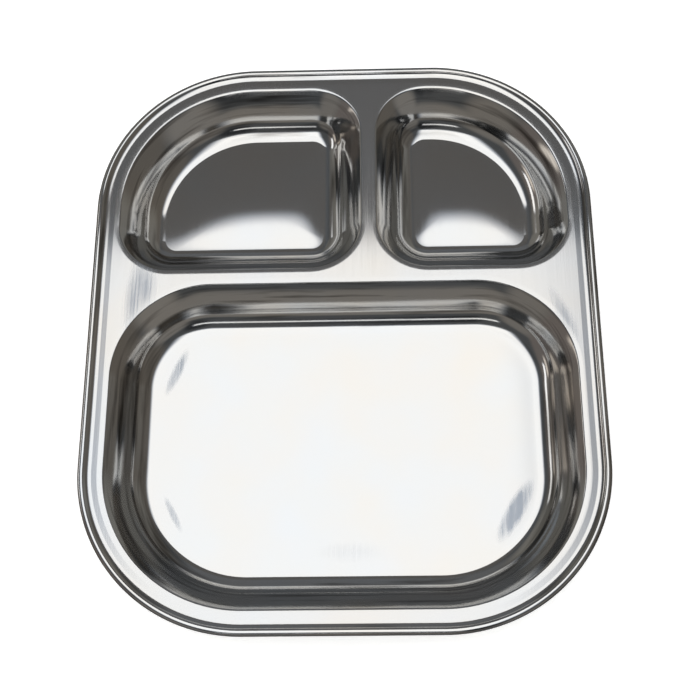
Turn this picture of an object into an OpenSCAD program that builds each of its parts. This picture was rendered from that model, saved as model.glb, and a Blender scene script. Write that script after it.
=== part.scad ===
// Divided compartment plate: one sheet of stainless steel, pressed into three compartments,
// with its edge curled round a stiffening wire.
// Millimetres. X runs to the right, Y to the far side, Z up. The origin is on the table,
// under the middle of the plate.

/* [Plate] */
// Width over the rim
plate_w = 200; // [180:1:240]
// Length over the rim
plate_l = 237; // [215:1:280]
// Corner radius of the rim, seen from above
corner_r = 63.5; // [45:0.5:80]
// Thickness of the steel sheet
sheet_t = 0.7; // [0.5:0.05:1]

/* [Compartments] */
// Depth of the floors below the deck
depth = 15.6; // [12:0.2:20]
// Radius where a wall turns into its floor
floor_r = 9; // [6:0.5:14]
// Radius where the deck turns into a wall
edge_r = 1.5; // [1.2:0.1:4]
// Deck between the outermost edge and a compartment
border_w = 9; // [8:0.5:14]
// Deck between two compartments
bridge_w = 5; // [3:0.5:12]
// Length of the main compartment, at the near side
main_l = 130; // [110:1:145]
// Radius of the main compartment's two far corners
main_corner_r = 39; // [26:0.5:50]
// Radius of the side compartments' inner corners
side_corner_r = 21.5; // [20:0.5:30]
// Middle of the divider between the side compartments, to the right of the plate's middle
divider_x = 10.5; // [0:0.5:16]

/* [Rim] */
// Diameter of the wire inside the curl
wire_d = 1.6; // [1.2:0.1:2.4]
// Room between the wire and the curl that holds it
wire_clear = 0.05; // [0.02:0.01:0.1]
// Radius of the cove that lifts the deck into the curl
cove_r = 1.8; // [1.2:0.1:3]
// Angle that the curl leaves open under the deck
curl_gap_deg = 58; // [50:1:80]

/* [Hidden] */
$fn = 96;

// Smallest corner radius that a floor keeps
floor_corner_r = 1;

// Walls and cove slope four up for three along: shares of the sloping length
upright_share = 0.8;
level_share = 0.6;
run_share = level_share / upright_share;
turn_share = (1 - level_share) / upright_share;

// Directions in a section, where x runs inwards and y runs up
up = [0, 1];
slope_out = [upright_share, level_share];

// Levels
floor_top = sheet_t;
deck_top = floor_top + depth;

// Rim section, seen from the outermost edge inwards
curl_r = wire_d / 2 + wire_clear + sheet_t;
curl_centre = [curl_r, deck_top + cove_r - (curl_r + cove_r) * level_share];
cove_centre = curl_centre + (curl_r + cove_r) * slope_out;
rim_w = cove_centre[0];
tail_deg = atan2(upright_share, level_share) + curl_gap_deg;

// Wall section, seen from the edge of a compartment inwards
floor_r_room = (side_corner_r - floor_corner_r - depth * run_share) / turn_share - edge_r;
floor_fillet_r = min(floor_r, floor_r_room);
wall_run = depth * run_share + (edge_r + floor_fillet_r) * turn_share;
edge_centre = [0, deck_top - edge_r];
floor_centre = [wall_run, floor_top + floor_fillet_r];

// Compartment edges, each as [left, right, near, far]
inner_x = plate_w / 2 - border_w;
inner_y = plate_l / 2 - border_w;
main_far = main_l - inner_y;
side_near = main_far + bridge_w;
divider_left = divider_x - bridge_w / 2;
divider_right = divider_x + bridge_w / 2;
main_box = [-inner_x, inner_x, -inner_y, main_far];
left_box = [-inner_x, divider_left, side_near, inner_y];
right_box = [divider_right, inner_x, side_near, inner_y];
rim_box = [-plate_w / 2, plate_w / 2, -plate_l / 2, plate_l / 2];
function shrunk(box, by) = box + by * [1, -1, 1, -1];

// Corner radii, each as [far right, far left, near left, near right].
// The outer corners follow the rim, as far as a side compartment leaves room for its inner ones.
outer_r = corner_r - border_w;
function outer_corner_r(box) =
    min(outer_r, box[1] - box[0] - side_corner_r, box[3] - box[2] - side_corner_r);
rim_corners = [corner_r, corner_r, corner_r, corner_r];
main_corners = [main_corner_r, main_corner_r, outer_r, outer_r];
left_corners = [side_corner_r, outer_corner_r(left_box), side_corner_r, side_corner_r];
right_corners = [outer_corner_r(right_box), side_corner_r, side_corner_r, side_corner_r];
compartments = [
    [main_box, main_corners],
    [left_box, left_corners],
    [right_box, right_corners]
];
function tightened(corners, by) = [for (r = corners) r - by];

// Side of the box that a corner touches, and the way from it to the middle of the corner's arc
corner_x_side = [1, 0, 0, 1];
corner_y_side = [3, 3, 2, 2];
inward = [[-1, -1], [1, -1], [1, 1], [-1, 1]];
function corner_centre(box, corners, i) =
    [box[corner_x_side[i]], box[corner_y_side[i]]] + corners[i] * inward[i];
function next(i) = (i + 1) % 4;
function side_length(box, corners, i) =
    (i % 2 == 0 ? box[1] - box[0] : box[3] - box[2]) - corners[i] - corners[next(i)];

// Flat outline of a box with round corners: straight from tangent point to tangent point,
// and a quarter disc in each corner
module rounded_outline(box, corners) {
    polygon([
        for (i = [0 : 3], end = [i, i + 1])
            corner_centre(box, corners, i) + corners[i] * [cos(end * 90), sin(end * 90)]
    ]);
    for (i = [0 : 3])
        translate(corner_centre(box, corners, i))
            intersection() {
                circle(corners[i]);
                rotate(i * 90)
                    square(corners[i]);
            }
}

// Carries a section round a box with round corners.
// In the section, x is the distance inwards from the outline and y is the height.
module swept_round(box, corners) {
    for (i = [0 : 3])
        translate(corner_centre(box, corners, i)) {
            rotate(i * 90)
                rotate_extrude(angle = 90)
                    translate([corners[i], 0])
                        mirror([1, 0])
                            children();
            length = side_length(box, corners, i);
            rotate(next(i) * 90)
                translate([corners[i], length, 0])
                    rotate([90, 0, 0])
                        linear_extrude(length)
                            mirror([1, 0])
                                children();
        }
}

// Ring of sheet, seen in section
module sheet_ring(outer_radius) {
    difference() {
        circle(outer_radius);
        circle(outer_radius - sheet_t);
    }
}

// Part of a ring of sheet, between two directions from its middle
module sheet_arc(outer_radius, from, to) {
    reach = 2 * outer_radius;
    intersection() {
        sheet_ring(outer_radius);
        polygon([[0, 0], reach * from, reach * to]);
    }
}

// Wall of a compartment: edge radius, straight slope and floor radius
module wall_section() {
    translate(edge_centre)
        sheet_arc(edge_r, up, slope_out);
    polygon([
        edge_centre + edge_r * slope_out,
        floor_centre - floor_fillet_r * slope_out,
        floor_centre - (floor_fillet_r + sheet_t) * slope_out,
        edge_centre + (edge_r - sheet_t) * slope_out
    ]);
    translate(floor_centre)
        sheet_arc(floor_fillet_r + sheet_t, -up, -slope_out);
}

// Rim: the cove that rises from the deck, and the curl round the wire
module rim_section() {
    reach = 2 * curl_r;
    translate(curl_centre)
        difference() {
            sheet_ring(curl_r);
            polygon([[0, 0], reach * slope_out, reach * [sin(tail_deg), cos(tail_deg)]]);
        }
    translate(cove_centre)
        sheet_arc(cove_r + sheet_t, -up, -slope_out);
}

module pressed_plate() {
    color("silver") {
        translate([0, 0, deck_top - sheet_t])
            linear_extrude(sheet_t)
                difference() {
                    rounded_outline(shrunk(rim_box, rim_w), tightened(rim_corners, rim_w));
                    for (c = compartments)
                        rounded_outline(c[0], c[1]);
                }
        for (c = compartments) {
            swept_round(c[0], c[1])
                wall_section();
            linear_extrude(sheet_t)
                rounded_outline(shrunk(c[0], wall_run), tightened(c[1], wall_run));
        }
        swept_round(rim_box, rim_corners)
            rim_section();
    }
}

module rim_wire() {
    color("gray")
        swept_round(rim_box, rim_corners)
            translate(curl_centre)
                circle(wire_d / 2);
}

pressed_plate();
rim_wire();
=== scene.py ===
"""Divided compartment plate: one stainless steel sheet, pressed into three compartments, with its
edge curled round a stiffening wire.

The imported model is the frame. The sheet is built again here as a fine mesh whose shading follows
the true curves of the press tool, dressed in polished steel and lit for a picture from above.
Classes hold millimetres and degrees, apart from the leans of a section, which are radians. Meshes
and materials are written in metres.
"""

import logging
import math
from collections.abc import Mapping, Sequence
from dataclasses import dataclass
from enum import Enum

import bmesh
import bpy
from mathutils import Matrix, Vector, noise


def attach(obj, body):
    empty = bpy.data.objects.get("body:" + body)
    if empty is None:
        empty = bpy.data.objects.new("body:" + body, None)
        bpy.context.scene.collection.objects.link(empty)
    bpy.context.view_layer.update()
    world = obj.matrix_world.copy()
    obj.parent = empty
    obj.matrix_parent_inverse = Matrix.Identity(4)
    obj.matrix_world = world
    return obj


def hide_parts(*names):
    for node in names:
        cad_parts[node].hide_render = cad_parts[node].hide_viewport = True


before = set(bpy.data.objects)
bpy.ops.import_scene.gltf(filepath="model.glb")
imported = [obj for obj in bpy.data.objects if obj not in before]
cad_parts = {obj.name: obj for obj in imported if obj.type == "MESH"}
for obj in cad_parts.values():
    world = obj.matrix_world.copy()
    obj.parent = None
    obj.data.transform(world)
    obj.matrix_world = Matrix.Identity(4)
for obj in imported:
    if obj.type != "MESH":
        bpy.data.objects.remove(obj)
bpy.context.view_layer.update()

MM = 0.001
IMAGE_SIDE_PX = 700
SENSOR_MM = 36.0
# Fewest steps round a corner of an outline
FEWEST_TURNS = 6
# Values that a noise mostly stays between
NOISE_SPAN = (0.3, 0.7)

log = logging.getLogger("compartment_plate")

Colour = tuple[float, float, float, float]
Ring = list[int]
Value = float | bpy.types.NodeSocket


class Side(Enum):
    """The two faces of the sheet. The value is the face's material slot on the mesh."""

    UPPER = 0
    LOWER = 1


class Course(Enum):
    """What a grain follows. The value is Blender's name for the coordinates."""

    PIECE = "Object"
    FACING = "Normal"


def linear(hex_colour: str) -> Colour:
    """Turns an sRGB hex colour into linear light.

    Args:
        hex_colour: Six hex digits after a number sign.

    Returns:
        Red, green, blue and an alpha of one.
    """
    channels = [int(hex_colour[i : i + 2], 16) / 255 for i in (1, 3, 5)]
    return (*(c / 12.92 if c <= 0.04045 else ((c + 0.055) / 1.055) ** 2.4 for c in channels), 1.0)


def add_node(
    tree: bpy.types.NodeTree,
    kind: str,
    inputs: Mapping[str | int, object] | None = None,
    **settings: object,
) -> bpy.types.Node:
    """Adds a node with its settings and links.

    Args:
        tree: Node tree that takes the node.
        kind: Blender's name for the node.
        inputs: A value for an input, or the output socket that feeds it, by name or number.
        settings: Options of the node itself.

    Returns:
        The new node.
    """
    node = tree.nodes.new(kind)
    for name, value in settings.items():
        setattr(node, name, value)
    for name, value in (inputs or {}).items():
        if isinstance(value, bpy.types.NodeSocket):
            tree.links.new(value, node.inputs[name])
        else:
            node.inputs[name].default_value = value
    return node


# Sections and outlines


@dataclass(frozen=True)
class Station:
    """A point of a section through the sheet.

    The lean is the angle from straight up to the way the surface faces, positive towards the
    middle of the compartment or plate.
    """

    inset: float
    height: float
    lean: float

    def through(self, thickness: float) -> "Station":
        """Gives the point on the other face of the sheet, facing the other way."""
        return Station(
            self.inset - thickness * math.sin(self.lean),
            self.height - thickness * math.cos(self.lean),
            self.lean + math.pi,
        )

    def onward(self, radius: float, lean: float, steps: int) -> "list[Station]":
        """Runs a round on from here.

        Args:
            radius: Radius, negative where the surface is hollow.
            lean: Lean at the round's end, in radians.
            steps: Number of points.

        Returns:
            The points after this one.
        """
        inset = self.inset - radius * math.sin(self.lean)
        height = self.height - radius * math.cos(self.lean)
        return arc((inset, height), radius, self.lean, lean, steps)[1:]


def arc(
    centre: tuple[float, float], radius: float, start: float, end: float, steps: int
) -> list[Station]:
    """Runs a round through a section.

    Args:
        centre: Inset and height of the round's middle.
        radius: Radius, negative where the surface is hollow.
        start: Lean at the first point, in radians.
        end: Lean at the last point.
        steps: Number of steps between them.

    Returns:
        The points from start to end.
    """
    leans = [start + (end - start) * i / steps for i in range(steps + 1)]
    return [
        Station(centre[0] + radius * math.sin(a), centre[1] + radius * math.cos(a), a) for a in leans
    ]


@dataclass(frozen=True)
class EdgePoint:
    """A point on an outline, with the unit direction that leads inwards from it."""

    x: float
    y: float
    in_x: float
    in_y: float

    def inside(self, inset: float, height: float) -> Vector:
        """Gives the point that far in from here, at that height."""
        return Vector((self.x + self.in_x * inset, self.y + self.in_y * inset, height))

    def tilted(self, inward: float, up: float) -> Vector:
        """Gives the direction that leads so far inwards and so far up."""
        return Vector((self.in_x * inward, self.in_y * inward, up))


@dataclass(frozen=True)
class RoundedBox:
    """An outline seen from above. Corner radii run far right, far left, near left, near right."""

    left: float
    right: float
    near: float
    far: float
    corners: tuple[float, float, float, float]

    def outline(self, step: float) -> list[EdgePoint]:
        """Walks round the outline, anticlockwise from the right.

        Args:
            step: Longest distance between two points.

        Returns:
            The points in order, without repeating the first.
        """
        rights = (self.right, self.left, self.left, self.right)
        fars = (self.far, self.far, self.near, self.near)
        centres = [
            (rights[i] - math.copysign(r, rights[i] - (self.left + self.right) / 2),
             fars[i] - math.copysign(r, fars[i] - (self.near + self.far) / 2))
            for i, r in enumerate(self.corners)
        ]
        points: list[EdgePoint] = []
        for i, radius in enumerate(self.corners):
            turns = max(FEWEST_TURNS, math.ceil(radius * math.pi / 2 / step))
            for j in range(turns + 1):
                angle = math.pi / 2 * (i + j / turns)
                out_x, out_y = math.cos(angle), math.sin(angle)
                x, y = centres[i][0] + radius * out_x, centres[i][1] + radius * out_y
                points.append(EdgePoint(x, y, -out_x, -out_y))
            start, following = points[-1], (i + 1) % 4
            end_x = centres[following][0] - self.corners[following] * start.in_x
            end_y = centres[following][1] - self.corners[following] * start.in_y
            pieces = max(1, math.ceil(math.hypot(end_x - start.x, end_y - start.y) / step))
            for j in range(1, pieces):
                share = j / pieces
                points.append(
                    EdgePoint(
                        start.x + (end_x - start.x) * share,
                        start.y + (end_y - start.y) * share,
                        start.in_x,
                        start.in_y,
                    )
                )
        return points


@dataclass(frozen=True)
class DrawnWaves:
    """Slow waves that drawing leaves in a wall, with finer ripples. They make its mirror image waver.

    The onset says how fast they grow as the sheet turns out of the level. The probe is the step over
    which their slope is measured.
    """

    length: float = 60.0
    rise: float = 9.0
    height: float = 0.04
    ripple_share: float = 0.22
    ripples_along: float = 1.7
    ripples_up: float = 3.4
    onset: float = 1.6
    probe: float = 0.15

    def at(self, point: Vector) -> float:
        """Gives how far the surface stands out.

        Args:
            point: Point of the plain surface.

        Returns:
            The distance in millimetres.
        """
        place = Vector((point.x / self.length, point.y / self.length, point.z / self.rise))
        along, up = self.ripples_along, self.ripples_up
        ripple = Vector((place.x * along, place.y * along, place.z * up))
        return self.height * (noise.noise(place) + self.ripple_share * noise.noise(ripple))

    def shifted(self, point: Vector, facing: Vector, share: float) -> tuple[Vector, Vector]:
        """Moves a point of the surface by the waves.

        Args:
            point: Point of the plain surface.
            facing: The way it faces, a unit vector.
            share: How much of the waves shows here, from 0 to 1.

        Returns:
            The moved point and the way the surface faces there.
        """
        here = self.at(point)
        slope = Vector(
            [(self.at(point + axis * self.probe) - here) / self.probe for axis in Matrix.Identity(3)]
        )
        slope -= facing * slope.dot(facing)
        return point + facing * here * share, (facing - slope * share).normalized()


@dataclass(frozen=True)
class FloorCrown:
    """The slight dome that the press leaves in a floor: broad across, and level at its edge."""

    height: float
    top: tuple[float, float]
    spread: tuple[float, float]
    flatness: float
    shoulder: float

    def at(self, x: float, y: float, share: float, edge_slope: Vector) -> tuple[float, Vector]:
        """Gives the dome's height and slope.

        Args:
            x: Place of the point.
            y: Place of the point.
            share: How far it lies from the floor's middle to its edge, from 0 to 1.
            edge_slope: How fast that share grows along x and y.

        Returns:
            Height above the flat floor, and its slope along x and y.
        """
        off = ((x - self.top[0]) / self.spread[0], (y - self.top[1]) / self.spread[1])
        dome = self.height * math.exp(-(abs(off[0]) ** self.flatness) - off[1] ** 2)
        fall_x = math.copysign(self.flatness * abs(off[0]) ** (self.flatness - 1), off[0])
        dome_slope = Vector((fall_x / self.spread[0], 2 * off[1] / self.spread[1], 0.0)) * -dome
        level = 1 - share**self.shoulder
        fall = -2 * level * self.shoulder * share ** (self.shoulder - 1)
        return dome * level**2, dome_slope * level**2 + edge_slope * (dome * fall)


class SheetMesh:
    """Collects the points, facings and faces of a swept sheet, and writes them as one mesh."""

    def __init__(self) -> None:
        """Starts an empty mesh."""
        self.points: list[Vector] = []
        self.facings: list[Vector] = []
        self.faces: list[tuple[int, ...]] = []
        self.sides: list[int] = []

    def add(self, point: Vector, facing: Vector) -> int:
        """Adds one point.

        Args:
            point: Its place.
            facing: The way the surface faces there.

        Returns:
            Its number.
        """
        self.points.append(point)
        self.facings.append(facing)
        return len(self.points) - 1

    def ring(
        self, outline: Sequence[EdgePoint], station: Station, waves: DrawnWaves | None = None
    ) -> Ring:
        """Carries one point of a section round an outline.

        Args:
            outline: Outline that the section follows.
            station: The point of the section.
            waves: Waves to lay on the surface, if any. They fade out where it lies level.

        Returns:
            The numbers of the new points.
        """
        lean_in, lean_up = math.sin(station.lean), math.cos(station.lean)
        ring: Ring = []
        for edge in outline:
            point = edge.inside(station.inset, station.height)
            facing = edge.tilted(lean_in, lean_up)
            if waves:
                point, facing = waves.shifted(point, facing, min(1.0, lean_in**2 * waves.onset))
            ring.append(self.add(point, facing))
        return ring

    def face(self, corners: Sequence[int], side: Side) -> None:
        """Adds one face."""
        self.faces.append(tuple(corners))
        self.sides.append(side.value)

    def strip(self, outer: Ring, inner: Ring, side: Side) -> None:
        """Joins two rings of equal length with faces.

        Args:
            outer: Ring further out, seen from above.
            inner: Ring further in.
            side: Face of the sheet. Upper faces turn up, lower ones down.
        """
        for i in range(len(outer)):
            j = (i + 1) % len(outer)
            quad = (outer[i], outer[j], inner[j], inner[i])
            self.face(quad if side is Side.UPPER else quad[::-1], side)

    def fan(self, ring: Ring, tip: int, side: Side) -> None:
        """Closes a ring with triangles to one point in its middle.

        Args:
            ring: The ring.
            tip: Number of the point.
            side: Face of the sheet.
        """
        for i in range(len(ring)):
            corners = (ring[i], ring[(i + 1) % len(ring)], tip)
            self.face(corners if side is Side.UPPER else corners[::-1], side)

    def fill(self, rings: Sequence[Ring], side: Side) -> None:
        """Fills the flat area between several rings.

        Args:
            rings: The outer ring and the rings of the holes in it, in any order.
            side: Face of the sheet.
        """
        mesh = bmesh.new()
        numbers: dict[bmesh.types.BMVert, int] = {}
        edges: list[bmesh.types.BMEdge] = []
        for ring in rings:
            verts = [mesh.verts.new(self.points[n]) for n in ring]
            numbers.update(zip(verts, ring))
            edges += [mesh.edges.new((v, verts[i - 1])) for i, v in enumerate(verts)]
        bmesh.ops.triangle_fill(
            mesh, use_beauty=True, use_dissolve=False, edges=edges, normal=(0, 0, 1)
        )
        for face in mesh.faces:
            corners = [numbers[v] for v in face.verts]
            if (face.normal.z > 0) != (side is Side.UPPER):
                corners.reverse()
            self.face(corners, side)
        mesh.free()

    def to_object(self, name: str) -> bpy.types.Object:
        """Writes the mesh in metres, shaded by the collected facings.

        Args:
            name: Name of the piece.

        Returns:
            The new object, linked to the scene.
        """
        data = bpy.data.meshes.new(name)
        data.from_pydata([p * MM for p in self.points], [], self.faces)
        data.polygons.foreach_set("use_smooth", [True] * len(self.faces))
        data.polygons.foreach_set("material_index", self.sides)
        data.normals_split_custom_set_from_vertices(self.facings)
        data.update()
        piece = bpy.data.objects.new(name, data)
        bpy.context.scene.collection.objects.link(piece)
        return piece


# Finishes


def empty_material(name: str) -> bpy.types.Material:
    """Makes a material without any nodes.

    Args:
        name: Name of the material.

    Returns:
        The new material.
    """
    made = bpy.data.materials.new(name)
    made.use_nodes = True
    made.node_tree.nodes.clear()
    return made


@dataclass(frozen=True)
class Grain:
    """Lines or clouds in a surface, by their size along each axis.

    The detail is the number of finer layers in them, and the fade is the strength of each beside
    the one before. The unit is the length of a millimetre in the coordinates that they follow.
    """

    size: tuple[float, float, float]
    detail: float
    fade: float = 0.5
    course: Course = Course.PIECE
    unit: float = MM

    def add(self, tree: bpy.types.NodeTree, place: bpy.types.Node) -> bpy.types.NodeSocket:
        """Lays the grain on a surface.

        Args:
            tree: Node tree of the material.
            place: Node with the surface's coordinates.

        Returns:
            Its value at each point, mostly inside NOISE_SPAN.
        """
        stretched = add_node(
            tree,
            "ShaderNodeMapping",
            {
                "Vector": place.outputs[self.course.value],
                "Scale": [1 / (s * self.unit) for s in self.size],
            },
        )
        cells = add_node(
            tree,
            "ShaderNodeTexNoise",
            {"Vector": stretched.outputs[0], "Scale": 1.0, "Detail": self.detail, "Roughness": self.fade},
        )
        return cells.outputs["Fac"]


@dataclass(frozen=True)
class BuffMark:
    """A long dull mark that the buffing wheel has left in a floor or in the deck.

    The satin is its strength, which it reaches at the core's share of its half length and width.
    """

    centre: tuple[float, float]
    heading: float
    half_length: float
    half_width: float
    satin: float
    core: float = 0.3

    def add(self, tree: bpy.types.NodeTree, place: bpy.types.Node) -> bpy.types.NodeSocket:
        """Lays the mark on a surface.

        Args:
            tree: Node tree of the material.
            place: Node with the surface's coordinates.

        Returns:
            Its strength at each point.
        """
        inside = add_node(
            tree,
            "ShaderNodeMapping",
            {
                "Vector": place.outputs[Course.PIECE.value],
                "Location": Vector((*self.centre, 0.0)) * MM,
                "Rotation": (0.0, 0.0, math.radians(self.heading)),
                "Scale": (self.half_length * MM, self.half_width * MM, 1.0),
            },
            vector_type="TEXTURE",
        )
        off = add_node(tree, "ShaderNodeVectorMath", {0: inside.outputs[0]}, operation="LENGTH")
        patch = add_node(
            tree,
            "ShaderNodeMapRange",
            {"Value": off.outputs["Value"], "From Min": 1.0, "From Max": self.core, "To Max": self.satin},
            interpolation_type="SMOOTHSTEP",
        )
        return patch.outputs[0]


@dataclass(frozen=True)
class SheetPlaces:
    """Masks that tell the sheet's walls from its level parts, and the deck from the floors."""

    tree: bpy.types.NodeTree
    level: bpy.types.NodeSocket
    on_deck: bpy.types.NodeSocket

    def by_lie(self, wall: Value, flat: Value) -> bpy.types.NodeSocket:
        """Chooses between a value for the walls and one for the level parts."""
        choice = {"Factor": self.level, "A": wall, "B": flat}
        return add_node(self.tree, "ShaderNodeMix", choice).outputs[0]

    def by_part(self, wall: Value, floor: Value, deck: Value) -> bpy.types.NodeSocket:
        """Chooses among values for the walls, the floors and the deck."""
        flat = add_node(self.tree, "ShaderNodeMix", {"Factor": self.on_deck, "A": floor, "B": deck})
        return self.by_lie(wall, flat.outputs[0])


@dataclass(frozen=True)
class PolishedSheetSteel:
    """Stainless steel sheet, brushed lengthwise at the mill, then pressed and buffed bright.

    To the eye the walls that the tool has burnished are a mirror, with wavering images that fine
    lines along the wall break into streaks. The lines are bumps in the wall, and they also darken its
    colour towards a dark brown: a painted dark reflection in streaks. The floors keep a trace of the
    lengthwise grain, which frays the edges of what they mirror. The deck keeps the most of it: fine
    scratches lay a cool satin sheen over its mirror. So do a few marks of the buffing wheel in the main
    floor and the deck.
    The true width of grain and lines is near 0.05 mm. They are drawn wider so that they show.
    """

    name: str = "stainless_steel_brushed_and_buffed"
    colour: str = "#B8BDC2"
    worn_colour: str = "#C0BAB1"
    wear: Grain = Grain((35.0, 35.0, 35.0), detail=2.0)
    grain: Grain = Grain((0.5, 30.0, 0.5), detail=3.0, fade=0.65)
    grain_height: float = 0.006
    level_facing: tuple[float, float] = (0.86, 0.995)
    wall_roughness: float = 0.1
    wall_lines: Grain = Grain((45.0, 45.0, 2.0), detail=3.5)
    wall_line_share: float = 2.4
    # Painted dark reflection: along the lines the walls' colour darkens towards this dark brown, in streaks
    wall_line_colour: str = "#4C4844"
    wall_line_tint: float = 0.85
    wall_line_span: tuple[float, float] = (0.5, 0.72)
    floor_roughness: tuple[float, float] = (0.028, 0.05)
    floor_grain_share: float = 0.15
    floor_satin: float = 0.1
    deck_height: float = 16.3
    deck_room: float = 0.35
    deck_roughness: tuple[float, float] = (0.07, 0.12)
    deck_grain_share: float = 1.0
    deck_satin: float = 0.17
    satin_colour: str = "#BFC6CF"
    satin_roughness: float = 0.55
    fray: tuple[float, float] = (0.45, 1.3)
    fray_span: tuple[float, float] = (0.35, 0.65)
    marks: tuple[BuffMark, ...] = (
        BuffMark((65.0, -69.5), 60.0, 15.5, 4.2, 1.2),
        BuffMark((-66.8, -11.5), 68.0, 12.0, 2.6, 0.7),
        BuffMark((-65.7, -69.6), -63.0, 9.0, 1.7, 0.6),
        BuffMark((2.0, -84.8), 0.0, 16.0, 5.0, 0.12, 0.0),
        BuffMark((-82.0, 16.0), 84.0, 21.0, 5.5, 0.8, 0.0),
        BuffMark((-77.0, 19.0), 88.0, 13.0, 4.0, 0.55, 0.0),
        BuffMark((86.2, 4.5), -67.0, 15.0, 3.4, 0.6, 0.0),
    )

    def places(self, tree: bpy.types.NodeTree, place: bpy.types.Node) -> SheetPlaces:
        """Tells the parts of the sheet apart, by the way they face and by their height.

        Args:
            tree: Node tree of the material.
            place: Node with the surface's coordinates.

        Returns:
            The masks, each from 0 to 1.
        """
        facing = add_node(tree, "ShaderNodeSeparateXYZ", {0: place.outputs[Course.FACING.value]})
        low, high = self.level_facing
        level = add_node(
            tree,
            "ShaderNodeMapRange",
            {"Value": facing.outputs["Z"], "From Min": low, "From Max": high},
            interpolation_type="SMOOTHSTEP",
        )
        point = add_node(tree, "ShaderNodeSeparateXYZ", {0: place.outputs[Course.PIECE.value]})
        on_deck = add_node(
            tree,
            "ShaderNodeMath",
            {0: point.outputs["Z"], 1: self.deck_height * MM, 2: self.deck_room * MM},
            operation="COMPARE",
        )
        return SheetPlaces(tree, level.outputs[0], on_deck.outputs[0])

    def tint(
        self, places: SheetPlaces, place: bpy.types.Node, lines: bpy.types.NodeSocket
    ) -> bpy.types.NodeSocket:
        """Colours the mirror: worn in clouds, with a painted dark reflection in streaks along the walls.

        Args:
            places: Masks of the sheet's parts.
            place: Node with the surface's coordinates.
            lines: The lines along the walls.

        Returns:
            The colour.
        """
        tree = places.tree
        worn = add_node(
            tree,
            "ShaderNodeMix",
            {0: self.wear.add(tree, place), 6: linear(self.colour), 7: linear(self.worn_colour)},
            data_type="RGBA",
        )
        # Along the lines the walls' colour darkens: a painted dark reflection in streaks
        low, high = self.wall_line_span
        dull = add_node(
            tree,
            "ShaderNodeMapRange",
            {"Value": lines, "From Min": low, "From Max": high, "To Max": self.wall_line_tint},
        )
        lined = add_node(
            tree,
            "ShaderNodeMix",
            {
                0: places.by_lie(dull.outputs[0], 0.0),
                6: worn.outputs[2],
                7: linear(self.wall_line_colour),
            },
            data_type="RGBA",
        )
        return lined.outputs[2]

    def satin(
        self, places: SheetPlaces, place: bpy.types.Node, grain: bpy.types.NodeSocket
    ) -> bpy.types.NodeSocket:
        """Lays satin over the level parts, with the marks of the buffing wheel, which the grain frays.

        Args:
            places: Masks of the sheet's parts.
            place: Node with the surface's coordinates.
            grain: The lengthwise grain.

        Returns:
            The satin's share of the surface.
        """
        tree = places.tree
        dull: Value = 0.0
        for mark in self.marks:
            both = {0: mark.add(tree, place), 1: dull}
            dull = add_node(tree, "ShaderNodeMath", both, operation="ADD").outputs[0]
        fraying = add_node(
            tree,
            "ShaderNodeMapRange",
            {
                "Value": grain,
                "From Min": self.fray_span[0],
                "From Max": self.fray_span[1],
                "To Min": self.fray[0],
                "To Max": self.fray[1],
            },
        )
        both = {0: dull, 1: fraying.outputs[0]}
        frayed = add_node(tree, "ShaderNodeMath", both, operation="MULTIPLY")
        plain = places.by_part(0.0, self.floor_satin, self.deck_satin)
        share = {0: frayed.outputs[0], 1: places.level, 2: plain}
        return add_node(tree, "ShaderNodeMath", share, operation="MULTIPLY_ADD").outputs[0]

    def material(self) -> bpy.types.Material:
        """Builds the material.

        Returns:
            The material: a mirror, with a satin sheen laid over its level parts.
        """
        made = empty_material(self.name)
        tree = made.node_tree
        place = add_node(tree, "ShaderNodeTexCoord")
        places = self.places(tree, place)
        grain, lines = self.grain.add(tree, place), self.wall_lines.add(tree, place)
        low, high = NOISE_SPAN
        flat_roughness = [
            add_node(
                tree,
                "ShaderNodeMapRange",
                {"Value": grain, "From Min": low, "From Max": high, "To Min": smooth, "To Max": rough},
            ).outputs[0]
            for smooth, rough in (self.floor_roughness, self.deck_roughness)
        ]
        bump = add_node(
            tree,
            "ShaderNodeBump",
            {
                "Height": places.by_lie(lines, grain),
                "Strength": places.by_part(
                    self.wall_line_share, self.floor_grain_share, self.deck_grain_share
                ),
                "Distance": self.grain_height * MM,
            },
        )
        mirror, sheen = (
            add_node(
                tree,
                "ShaderNodeBsdfPrincipled",
                {"Base Color": colour, "Metallic": 1.0, "Roughness": roughness, "Normal": bump.outputs[0]},
            ).outputs[0]
            for colour, roughness in (
                (self.tint(places, place, lines), places.by_part(self.wall_roughness, *flat_roughness)),
                (linear(self.satin_colour), self.satin_roughness),
            )
        )
        layers = {0: self.satin(places, place, grain), 1: mirror, 2: sheen}
        surface = add_node(tree, "ShaderNodeMixShader", layers)
        add_node(tree, "ShaderNodeOutputMaterial", {"Surface": surface.outputs[0]})
        return made


@dataclass(frozen=True)
class LinedSteel:
    """A plain steel whose gloss varies in fine lines."""

    name: str
    colour: str
    roughness: tuple[float, float]
    lines: Grain

    def material(self) -> bpy.types.Material:
        """Builds the material.

        Returns:
            The material.
        """
        made = empty_material(self.name)
        tree = made.node_tree
        place = add_node(tree, "ShaderNodeTexCoord")
        roughness = add_node(
            tree,
            "ShaderNodeMapRange",
            {
                "Value": self.lines.add(tree, place),
                "From Min": NOISE_SPAN[0],
                "From Max": NOISE_SPAN[1],
                "To Min": self.roughness[0],
                "To Max": self.roughness[1],
            },
        )
        shader = add_node(
            tree,
            "ShaderNodeBsdfPrincipled",
            {"Base Color": linear(self.colour), "Metallic": 1.0, "Roughness": roughness.outputs[0]},
        )
        add_node(tree, "ShaderNodeOutputMaterial", {"Surface": shader.outputs[0]})
        return made


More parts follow.
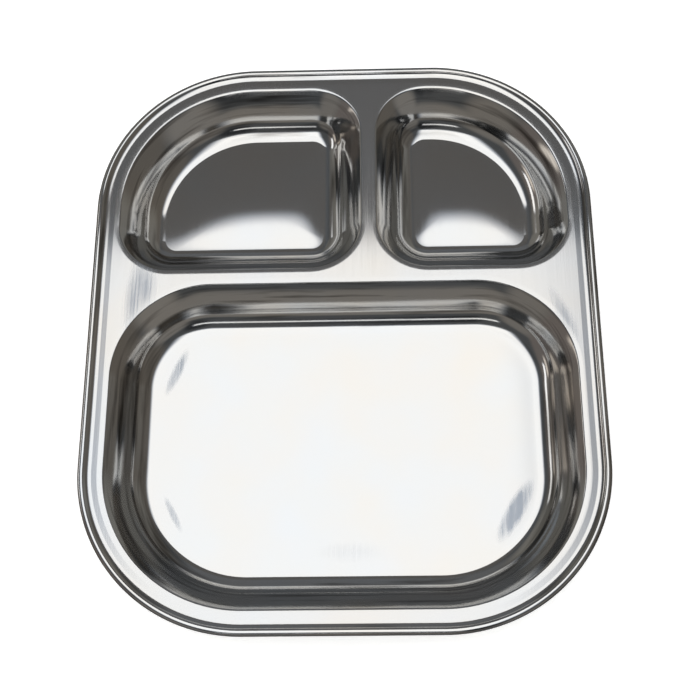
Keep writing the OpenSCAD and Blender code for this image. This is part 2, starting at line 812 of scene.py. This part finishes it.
@dataclass(frozen=True)
class MillSheetSteel(LinedSteel):
    """Underside of the sheet: stainless steel as rolled and pickled, pressed but never buffed.

    To the eye it is a soft grey sheen with faint rolling lines. Their true width is near 0.1 mm,
    and they are drawn wider so that they show.
    """

    name: str = "stainless_steel_mill_rolled"
    colour: str = "#C2C1BF"
    roughness: tuple[float, float] = (0.24, 0.36)
    lines: Grain = Grain((0.8, 60.0, 0.8), detail=4.0)


@dataclass(frozen=True)
class DrawnWireSteel(LinedSteel):
    """Stainless steel wire, bright drawn through a die.

    To the eye it is a grey gloss with die lines along its length, drawn wider than the true
    0.03 mm so that they show. They follow the way the wire faces, where its radius of 0.8 mm is one.
    """

    name: str = "stainless_steel_bright_drawn"
    colour: str = "#B4B3B1"
    roughness: tuple[float, float] = (0.18, 0.3)
    lines: Grain = Grain((0.25, 0.25, 0.25), detail=4.0, course=Course.FACING, unit=1 / 0.8)


# The object


@dataclass(frozen=True)
class CurledRim:
    """Section of the rim: a groove in the deck, a cove that rises from it, a curl round the wire.

    The steps are those of the ridge beside the groove, the cove and the curl.
    """

    sheet: float = 0.7
    wire: float = 1.6
    wire_room: float = 0.05
    wire_drop: float = 0.21
    tail_gap: float = 111.0
    groove_inset: float = 5.1
    groove_depth: float = 0.12
    groove_lean: float = 3.3
    ridge_r: float = 5.0
    steps: tuple[int, int, int] = (5, 14, 44)

    @property
    def curl_r(self) -> float:
        """Outer radius of the curl."""
        return self.wire / 2 + self.wire_room + self.sheet

    def curl_centre(self, deck: float) -> tuple[float, float]:
        """Inset and height of the wire's middle, for a deck at that height."""
        return self.curl_r, deck - self.wire_drop

    def section(self, deck: float) -> list[Station]:
        """Runs from the flat deck out over the groove, up the cove and round the curl.

        Args:
            deck: Height of the deck's upper face.

        Returns:
            The points of the upper face, from the deck to the end of the curl.
        """
        curl = self.curl_centre(deck)
        lean = math.radians(self.groove_lean)
        across, lift = self.groove_inset - curl[0], self.wire_drop - self.groove_depth
        cove_r = (across**2 + lift**2 - self.curl_r**2) / (2 * (self.curl_r - lift))
        slope = math.asin(across / (self.curl_r + cove_r))
        fall = self.groove_depth - (self.ridge_r + cove_r) * (1 - math.cos(lean))
        start = self.groove_inset + (self.ridge_r + cove_r) * math.sin(lean) + fall / math.tan(lean)
        ridge = (start, deck - self.ridge_r)
        cove = (self.groove_inset, deck - self.groove_depth + cove_r)
        tail = math.radians(self.tail_gap) - 2 * math.pi
        ridge_steps, cove_steps, curl_steps = self.steps
        return [
            *arc(ridge, self.ridge_r, 0.0, -lean, ridge_steps),
            *arc(cove, -cove_r, -lean, slope, cove_steps),
            *arc(curl, self.curl_r, slope, tail, curl_steps)[1:],
        ]


@dataclass(frozen=True)
class PressedPlate:
    """The pressed sheet: deck, three compartments and curled rim.

    The wall steps are those of the deck's roll, the edge, the wall, its foot and the floor radius.
    The floor rings crowd towards the floor's edge.
    """

    width: float = 200.0
    length: float = 237.0
    corner_r: float = 63.5
    sheet: float = 0.7
    depth: float = 15.6
    edge_r: float = 1.5
    edge_roll_r: float = 17.0
    edge_roll_lean: float = 5.0
    wall_leans: tuple[float, float] = (45.0, 59.5)
    foot_r: float = 12.0
    floor_r: float = 7.5
    foot_lean: float = 25.0
    border: float = 9.0
    bridge: float = 5.0
    main_length: float = 130.0
    main_corner_r: float = 39.0
    side_corner_r: float = 21.5
    divider_x: float = 10.5
    step: float = 2.0
    wall_steps: tuple[int, int, int, int, int] = (4, 8, 12, 14, 10)
    floor_rings: int = 32
    floor_crowding: float = 1.5
    rim: CurledRim = CurledRim()
    waves: DrawnWaves = DrawnWaves()

    @property
    def deck(self) -> float:
        """Height of the deck's upper face above the table."""
        return self.sheet + self.depth

    @property
    def outer_box(self) -> RoundedBox:
        """Outline of the rim."""
        return RoundedBox(
            -self.width / 2, self.width / 2, -self.length / 2, self.length / 2, (self.corner_r,) * 4
        )

    def compartments(self) -> dict[str, RoundedBox]:
        """Lays the compartments out.

        Returns:
            Their edges by name.
        """
        x, y = self.width / 2 - self.border, self.length / 2 - self.border
        main_far = self.main_length - y
        side_near = main_far + self.bridge
        outer, main, inner = self.corner_r - self.border, self.main_corner_r, self.side_corner_r
        half = self.bridge / 2
        return {
            "main": RoundedBox(-x, x, -y, main_far, (main, main, outer, outer)),
            "left": RoundedBox(-x, self.divider_x - half, side_near, y, (inner, outer, inner, inner)),
            "right": RoundedBox(self.divider_x + half, x, side_near, y, (outer, inner, inner, inner)),
        }

    def crowns(self) -> dict[str, FloorCrown]:
        """Shapes the floors.

        Returns:
            The dome of each floor by the name of its compartment.
        """
        return {
            "main": FloorCrown(0.15, (0.0, -44.0), (300.0, 300.0), flatness=2.0, shoulder=20.0),
            "left": FloorCrown(0.38, (-26.0, 70.0), (38.0, 20.0), flatness=3.2, shoulder=7.0),
            "right": FloorCrown(0.34, (46.5, 70.0), (24.0, 20.0), flatness=2.4, shoulder=7.0),
        }

    def wall_section(self) -> list[Station]:
        """Runs from the deck down the wall to the flat floor.

        The deck rolls gently towards the edge, the wall bows a little outwards, and its foot eases
        into the floor by a wide and then a tighter round. The wall's own radius follows from the
        depth that is left for it.

        Returns:
            The points of the upper face, from the deck to the floor's edge.
        """
        roll, upper, lower, foot = (
            math.radians(a) for a in (self.edge_roll_lean, *self.wall_leans, self.foot_lean)
        )
        roll_steps, edge_steps, wall_steps, foot_steps, floor_steps = self.wall_steps
        middle = (-self.edge_roll_r * math.sin(roll), self.deck - self.edge_roll_r)
        section = arc(middle, self.edge_roll_r, 0.0, roll, roll_steps)
        section += section[-1].onward(self.edge_r, upper, edge_steps)
        rounds = self.floor_r * (1 - math.cos(foot)) + self.foot_r * (math.cos(foot) - math.cos(lower))
        drop = section[-1].height - self.sheet - rounds
        wall_r = drop / (math.cos(upper) - math.cos(lower))
        section += section[-1].onward(wall_r, lower, wall_steps)
        section += section[-1].onward(-self.foot_r, foot, foot_steps)
        section += section[-1].onward(-self.floor_r, 0.0, floor_steps)
        return section

    def wall(self, mesh: SheetMesh, outline: Sequence[EdgePoint], side: Side) -> tuple[Ring, Ring]:
        """Sweeps one compartment's wall.

        Args:
            mesh: Mesh that takes the wall.
            outline: Edge of the compartment.
            side: Face of the sheet.

        Returns:
            The first ring, on the deck, and the last one, at the floor's edge.
        """
        section = self.wall_section()
        if side is Side.LOWER:
            section = [station.through(self.sheet) for station in section]
        rings = [mesh.ring(outline, station, self.waves) for station in section]
        for outer, inner in zip(rings, rings[1:]):
            mesh.strip(outer, inner, side)
        return rings[0], rings[-1]

    def floor(self, mesh: SheetMesh, crown: FloorCrown, edge: Ring, side: Side) -> None:
        """Closes a compartment with its floor.

        Args:
            mesh: Mesh that takes the floor.
            crown: Dome of the floor.
            edge: Ring at the floor's edge.
            side: Face of the sheet.
        """
        sign = 1 if side is Side.UPPER else -1
        rims = [mesh.points[n].copy() for n in edge]
        middle = sum(rims, Vector()) / len(rims)
        outward: list[Vector] = []
        for i, point in enumerate(rims):
            chord = rims[(i + 1) % len(rims)] - rims[i - 1]
            out = Vector((chord.y, -chord.x, 0.0)).normalized()
            outward.append(out / (point - middle).dot(out))
        previous = edge
        for i in range(1, self.floor_rings):
            share = 1 - (i / self.floor_rings) ** self.floor_crowding
            ring: Ring = []
            for point, out in zip(rims, outward):
                place = middle + (point - middle) * share
                rise, slope = crown.at(place.x, place.y, share, out)
                facing = Vector((-slope.x, -slope.y, 1.0)).normalized()
                ring.append(mesh.add(place + Vector((0, 0, rise)), facing * sign))
            mesh.strip(previous, ring, side)
            previous = ring
        rise, slope = crown.at(middle.x, middle.y, 0.0, Vector())
        facing = Vector((-slope.x, -slope.y, 1.0)).normalized()
        tip = mesh.add(middle + Vector((0, 0, rise)), facing * sign)
        mesh.fan(previous, tip, side)

    def rim_sweep(self, mesh: SheetMesh, side: Side) -> tuple[Ring, Ring]:
        """Sweeps the rim.

        Args:
            mesh: Mesh that takes the rim.
            side: Face of the sheet.

        Returns:
            The first ring, on the deck, and the last one, at the end of the curl.
        """
        section = self.rim.section(self.deck)
        if side is Side.LOWER:
            section = [station.through(self.sheet) for station in section]
        outline = self.outer_box.outline(self.step)
        rings = [mesh.ring(outline, station) for station in section]
        for inner, outer in zip(rings, rings[1:]):
            mesh.strip(outer, inner, side)
        return rings[0], rings[-1]

    def build(self) -> bpy.types.Object:
        """Builds both faces of the sheet and the edge that joins them inside the curl.

        Returns:
            The piece, riding on the plate's body.
        """
        mesh = SheetMesh()
        ends: dict[Side, Ring] = {}
        for side in Side:
            deck_rings: list[Ring] = []
            for name, box in self.compartments().items():
                first, last = self.wall(mesh, box.outline(self.step), side)
                self.floor(mesh, self.crowns()[name], last, side)
                deck_rings.append(first)
            first, ends[side] = self.rim_sweep(mesh, side)
            mesh.fill([*deck_rings, first], side)
        mesh.strip(ends[Side.LOWER], ends[Side.UPPER], Side.LOWER)
        piece = mesh.to_object("pressed_sheet")
        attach(piece, "root")
        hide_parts("pressed_plate")
        return piece

    def dress(self, piece: bpy.types.Object) -> None:
        """Gives the sheet its two finishes, in the order of its faces.

        Args:
            piece: The sheet.
        """
        piece.data.materials.append(PolishedSheetSteel().material())
        piece.data.materials.append(MillSheetSteel().material())


@dataclass(frozen=True)
class RimWire:
    """The stiffening wire inside the curl, one length with its ends butted at the far side."""

    diameter: float = 1.6
    joint_gap: float = 0.15
    sides: int = 20
    step: float = 2.5

    def build(self, plate: PressedPlate) -> bpy.types.Object:
        """Bends the wire round the plate.

        Args:
            plate: The plate whose curl holds the wire.

        Returns:
            The piece, riding on the plate's body.
        """
        inset, height = plate.rim.curl_centre(plate.deck)
        path = plate.outer_box.outline(self.step)
        far = max(range(len(path)), key=lambda i: (path[i].y, -abs(path[i].x)))
        path = path[far:] + path[:far]
        mesh = SheetMesh()
        rings: list[Ring] = []
        for i, edge in enumerate([*path, path[0]]):
            shift = self.joint_gap / 2 * ((i == 0) - (i == len(path)))
            middle = edge.inside(inset, height) + Vector((edge.in_y, -edge.in_x, 0.0)) * shift
            ring: Ring = []
            for k in range(self.sides):
                turn = 2 * math.pi * k / self.sides
                out = edge.tilted(math.cos(turn), math.sin(turn))
                ring.append(mesh.add(middle + out * self.diameter / 2, out))
            rings.append(ring)
        for first, second in zip(rings, rings[1:]):
            mesh.strip(first, second, Side.UPPER)
        mesh.face(rings[0], Side.UPPER)
        mesh.face(rings[-1][::-1], Side.UPPER)
        piece = mesh.to_object("stiffening_wire")
        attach(piece, "root")
        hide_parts("rim_wire")
        return piece

    def dress(self, piece: bpy.types.Object) -> None:
        """Gives the wire its finish."""
        piece.data.materials.append(DrawnWireSteel().material())


# The studio


@dataclass(frozen=True)
class LightPanel:
    """A soft rectangular lamp that faces a point of the plate.

    The fades give, for its left, right, near and far side, how far in from the side its cloth
    takes to reach full light. The colour of its edge shows where it fades.
    """

    name: str
    centre: tuple[float, float, float]
    size: tuple[float, float]
    radiance: float
    fades: tuple[float, float, float, float]
    colour: str = "#FFFFFF"
    edge_colour: str = "#C9D3E4"
    across: tuple[float, float, float] = (1.0, 0.0, 0.0)
    aim: tuple[float, float, float] = (0.0, 0.0, 0.0)

    def paint(self, tree: bpy.types.NodeTree) -> None:
        """Lays the fades and the colours on the lamp's face.

        Args:
            tree: Node tree of the lamp.
        """
        tree.nodes.clear()
        surface = add_node(tree, "ShaderNodeNewGeometry")
        place = add_node(tree, "ShaderNodeSeparateXYZ", {0: surface.outputs["Parametric"]})
        share: Value = 1.0
        for i, fade in enumerate(self.fades):
            start = float(i % 2)
            full = start + (1 - 2 * start) * fade / self.size[i // 2]
            soft = add_node(
                tree,
                "ShaderNodeMapRange",
                {"Value": place.outputs["XY"[i // 2]], "From Min": start, "From Max": full},
                interpolation_type="SMOOTHSTEP",
            )
            both = {0: share, 1: soft.outputs[0]}
            share = add_node(tree, "ShaderNodeMath", both, operation="MULTIPLY").outputs[0]
        colour = add_node(
            tree,
            "ShaderNodeMix",
            {0: share, 6: linear(self.edge_colour), 7: linear(self.colour)},
            data_type="RGBA",
        )
        lamp = add_node(tree, "ShaderNodeEmission", {"Color": colour.outputs[2], "Strength": share})
        add_node(tree, "ShaderNodeOutputLight", {"Surface": lamp.outputs[0]})

    def build(self) -> None:
        """Hangs the lamp."""
        light = bpy.data.lights.new(self.name, "AREA")
        light.shape = "RECTANGLE"
        light.size, light.size_y = self.size[0] * MM, self.size[1] * MM
        light.energy = self.radiance * math.pi * light.size * light.size_y
        light.use_nodes = True
        self.paint(light.node_tree)
        holder = bpy.data.objects.new(self.name, light)
        back = (Vector(self.centre) - Vector(self.aim)).normalized()
        side = Vector(self.across)
        side = (side - back * side.dot(back)).normalized()
        turn = Matrix((side, back.cross(side), back)).transposed().to_4x4()
        holder.matrix_world = Matrix.Translation(Vector(self.centre) * MM) @ turn
        holder.visible_camera = False
        bpy.context.scene.collection.objects.link(holder)


@dataclass(frozen=True)
class RoomGlow:
    """A soft patch of the dim room, seen in one direction from the plate.

    A squash makes it low and wide.
    """

    direction: tuple[float, float, float]
    colour: str
    half_width: float
    fade: float
    squash: float = 1.0


@dataclass(frozen=True)
class Room:
    """The dim room round the lamps, which the walls and the rim mirror. It is paler low down."""

    colour: str = "#5C5E60"
    horizon_colour: str = "#A09C96"
    horizon_heights: tuple[float, float] = (1.5, 7.0)
    glows: tuple[RoomGlow, ...] = (
        RoomGlow((0.0, 0.6, 0.8), "#635F5A", 12.0, 12.0),
        RoomGlow((0.0, 0.94, 0.34), "#76787B", 14.0, 14.0),
        RoomGlow((0.05, -1.0, 0.1), "#908C87", 26.0, 10.0, 4.5),
        RoomGlow((0.87, 0.22, 0.44), "#746F69", 32.0, 12.0),
        RoomGlow((-1.0, 0.1, 0.05), "#807975", 32.0, 12.0),
        RoomGlow((0.15, -0.75, 0.64), "#333538", 8.0, 9.0),
        RoomGlow((0.66, -0.7, 0.27), "#94908B", 12.0, 14.0),
        RoomGlow((-0.66, -0.7, 0.27), "#8C8883", 10.0, 14.0),
        RoomGlow((0.7, 0.66, 0.27), "#8E8C87", 13.0, 15.0),
        RoomGlow((-0.7, 0.66, 0.27), "#8E8C87", 13.0, 15.0),
        RoomGlow((0.0, 0.0, -1.0), "#8C8A88", 25.0, 45.0),
    )

    def build(self) -> None:
        """Paints the room on the world."""
        world = bpy.data.worlds.new("dim_studio_room")
        bpy.context.scene.world = world
        world.use_nodes = True
        tree = world.node_tree
        tree.nodes.clear()
        place = add_node(tree, "ShaderNodeTexCoord")
        up = add_node(tree, "ShaderNodeSeparateXYZ", {0: place.outputs["Generated"]})
        height = add_node(tree, "ShaderNodeMath", {0: up.outputs["Z"]}, operation="ABSOLUTE")
        low, high = (math.sin(math.radians(a)) for a in self.horizon_heights)
        raised = add_node(
            tree,
            "ShaderNodeMapRange",
            {"Value": height.outputs[0], "From Min": low, "From Max": high},
            interpolation_type="SMOOTHSTEP",
        )
        ring = add_node(
            tree,
            "ShaderNodeMix",
            {0: raised.outputs[0], 6: linear(self.horizon_colour), 7: linear(self.colour)},
            data_type="RGBA",
        )
        colour = ring.outputs[2]
        for glow in self.glows:
            flat = Vector((1.0, 1.0, glow.squash))
            towards = (Vector(glow.direction) * flat).normalized()
            squashed = add_node(
                tree, "ShaderNodeVectorMath", {0: place.outputs["Generated"], 1: flat}, operation="MULTIPLY"
            )
            unit = add_node(tree, "ShaderNodeVectorMath", {0: squashed.outputs[0]}, operation="NORMALIZE")
            along = add_node(
                tree, "ShaderNodeVectorMath", {0: unit.outputs[0], 1: towards}, operation="DOT_PRODUCT"
            )
            edge = math.cos(math.radians(glow.half_width + glow.fade))
            core = math.cos(math.radians(glow.half_width))
            share = add_node(
                tree,
                "ShaderNodeMapRange",
                {"Value": along.outputs["Value"], "From Min": edge, "From Max": core},
                interpolation_type="SMOOTHSTEP",
            )
            both = {0: share.outputs[0], 6: colour, 7: linear(glow.colour)}
            colour = add_node(tree, "ShaderNodeMix", both, data_type="RGBA").outputs[2]
        shine = add_node(tree, "ShaderNodeBackground", {"Color": colour})
        add_node(tree, "ShaderNodeOutputWorld", {"Surface": shine.outputs[0]})


@dataclass(frozen=True)
class PaleFloor:
    """A matt white table that sweeps up into a round backdrop. The steel doesn't mirror it."""

    radius: float = 2600.0
    sweep_r: float = 900.0
    height: float = 2600.0
    colour: str = "#F4F4F3"
    roughness: float = 0.9
    glow: float = 0.62
    flat_rings: int = 6
    sweep_steps: int = 12
    sides: int = 96

    def build(self) -> None:
        """Builds the floor and hides it from the steel's mirror."""
        profile = [(self.radius * i / self.flat_rings, 0.0) for i in range(1, self.flat_rings + 1)]
        for i in range(1, self.sweep_steps + 1):
            climb = math.pi / 2 * i / self.sweep_steps
            profile.append(
                (self.radius + self.sweep_r * math.sin(climb), self.sweep_r * (1 - math.cos(climb)))
            )
        profile.append((self.radius + self.sweep_r, self.height))
        turns = [2 * math.pi * i / self.sides for i in range(self.sides)]
        data = bpy.data.meshes.new("pale_floor")
        mesh = bmesh.new()
        rings = []
        for radius, height in profile:
            points = [Vector((radius * math.cos(a), radius * math.sin(a), height)) for a in turns]
            rings.append([mesh.verts.new(point * MM) for point in points])
        mesh.faces.new(rings[0])
        for outer, inner in zip(rings[1:], rings):
            for i in range(self.sides):
                mesh.faces.new((inner[i - 1], outer[i - 1], outer[i], inner[i]))
        for face in mesh.faces:
            face.smooth = True
        mesh.to_mesh(data)
        mesh.free()
        floor = bpy.data.objects.new("pale_floor", data)
        bpy.context.scene.collection.objects.link(floor)
        paint = empty_material("matt_white_laminate")
        tree = paint.node_tree
        shader = add_node(
            tree,
            "ShaderNodeBsdfPrincipled",
            {
                "Base Color": linear(self.colour),
                "Roughness": self.roughness,
                "Emission Color": linear(self.colour),
                "Emission Strength": self.glow,
            },
        )
        add_node(tree, "ShaderNodeOutputMaterial", {"Surface": shader.outputs[0]})
        data.materials.append(paint)
        floor.visible_glossy = False


@dataclass(frozen=True)
class PhotoCamera:
    """The camera of the photograph: above the near edge, looking steeply down."""

    focal_px: float = 1275.0
    elevation: float = 68.439
    heading: float = -4.293
    roll: float = -4.825
    distance: float = 493.5
    target: tuple[float, float] = (2.7, -9.2)
    clip: tuple[float, float] = (10.0, 50000.0)

    def build(self, deck: float) -> None:
        """Places the camera.

        Args:
            deck: Height of the deck, where the camera's target lies.
        """
        down, heading, roll = (math.radians(a) for a in (self.elevation, self.heading, self.roll))
        forward = Vector(
            (math.sin(heading) * math.cos(down), math.cos(heading) * math.cos(down), -math.sin(down))
        )
        level = Vector((math.cos(heading), -math.sin(heading), 0.0))
        upright = level.cross(forward)
        right = level * math.cos(roll) + upright * math.sin(roll)
        up = upright * math.cos(roll) - level * math.sin(roll)
        place = Vector((*self.target, deck)) - forward * self.distance
        data = bpy.data.cameras.new("photo_camera")
        data.sensor_width = SENSOR_MM
        data.lens = self.focal_px * SENSOR_MM / IMAGE_SIDE_PX
        data.clip_start, data.clip_end = (distance * MM for distance in self.clip)
        camera = bpy.data.objects.new("photo_camera", data)
        turn = Matrix((right, up, -forward)).transposed().to_4x4()
        camera.matrix_world = Matrix.Translation(place * MM) @ turn
        bpy.context.scene.collection.objects.link(camera)
        bpy.context.scene.camera = camera


@dataclass(frozen=True)
class Studio:
    """Camera, floor, room and lamps."""

    camera: PhotoCamera = PhotoCamera()
    floor: PaleFloor = PaleFloor()
    room: Room = Room()
    panels: tuple[LightPanel, ...] = (
        LightPanel(
            "overhead_softbox", (-40.0, -14.0, 1016.0), (1200.0, 1152.0), 1.82, (320.0, 400.0, 120.0, 34.0),
            aim=(-40.0, -14.0, 0.0),
        ),
        LightPanel(
            "left_strip", (-900.0, 300.0, 520.0), (560.0, 150.0), 1.86, (60.0, 60.0, 20.0, 20.0),
            across=(0.3, 1.0, 0.0),
        ),
        LightPanel(
            "left_low_panel", (-1100.0, 120.0, 347.0), (520.0, 190.0), 1.0, (150.0, 150.0, 50.0, 50.0),
            colour="#FFF4E6", edge_colour="#FFF4E6", across=(0.1, 1.0, 0.0),
        ),
        LightPanel("near_lamp", (-60.0, -900.0, 760.0), (620.0, 110.0), 1.6, (60.0, 60.0, 20.0, 20.0)),
    )

    def build(self, deck: float) -> None:
        """Sets the studio up.

        Args:
            deck: Height of the plate's deck.
        """
        self.camera.build(deck)
        self.floor.build()
        self.room.build()
        for panel in self.panels:
            panel.build()
        settings = bpy.context.scene.view_settings
        settings.view_transform = "Standard"
        settings.look = "None"


def write_sizes() -> None:
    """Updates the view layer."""
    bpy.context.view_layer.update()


def main() -> None:
    """Builds the studio and the plate, and reports each piece."""
    logging.basicConfig(level=logging.INFO, format="%(message)s")
    plate, wire = PressedPlate(), RimWire()
    Studio().build(plate.deck)
    sheet_piece = plate.build()
    plate.dress(sheet_piece)
    wire_piece = wire.build(plate)
    wire.dress(wire_piece)
    for piece in (sheet_piece, wire_piece):
        log.info("%s: %d points, %d faces", piece.name, len(piece.data.vertices), len(piece.data.polygons))
    write_sizes()


if __name__ == "__main__":
    main()
